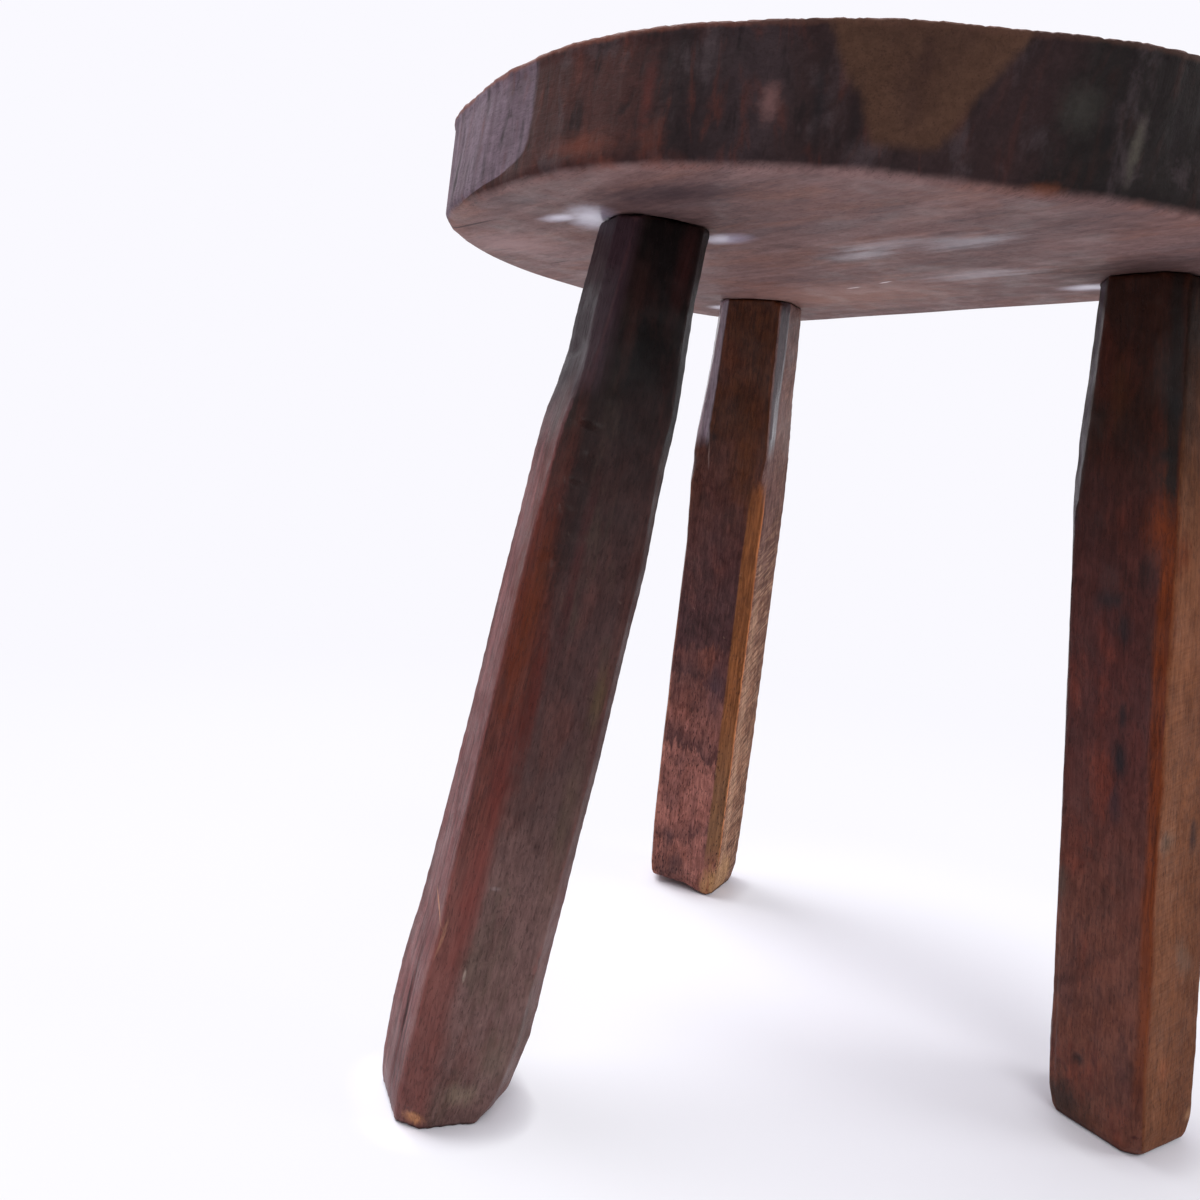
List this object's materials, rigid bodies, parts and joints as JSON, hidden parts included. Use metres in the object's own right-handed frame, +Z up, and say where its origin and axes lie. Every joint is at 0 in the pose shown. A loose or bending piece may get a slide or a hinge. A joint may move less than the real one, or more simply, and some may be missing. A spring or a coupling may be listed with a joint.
{
  "type": "milking stool",
  "caption": "Low farmhouse milking stool: a thick half-round plank seat on splayed, hewn wooden legs held by wedged round tenons.",
  "frame": {"origin": "on the floor, under the middle of the stool's outer box", "axes": "+Z up; +Y the way the seat's flat back faces, between the back legs; the front leg stands at -Y"},
  "size_m": [0.2932, 0.2538, 0.326],
  "materials": {
    "seat_wood": "dark stained, semi-gloss varnish over hewn wood, worn at the arrises",
    "leg_wood": "dark red-brown stained, semi-gloss varnish, worn to orange-brown on the corners",
    "wedge_wood": "paler stained wood, sawn flush and varnished with the seat"
  },
  "bodies": {
    "root": {"seat": "seat_wood", "leg_front": "leg_wood", "leg_back_left": "leg_wood", "leg_back_right": "leg_wood", "wedge_front": "wedge_wood", "wedge_back_left": "wedge_wood", "wedge_back_right": "wedge_wood"}
  },
  "joints": []
}
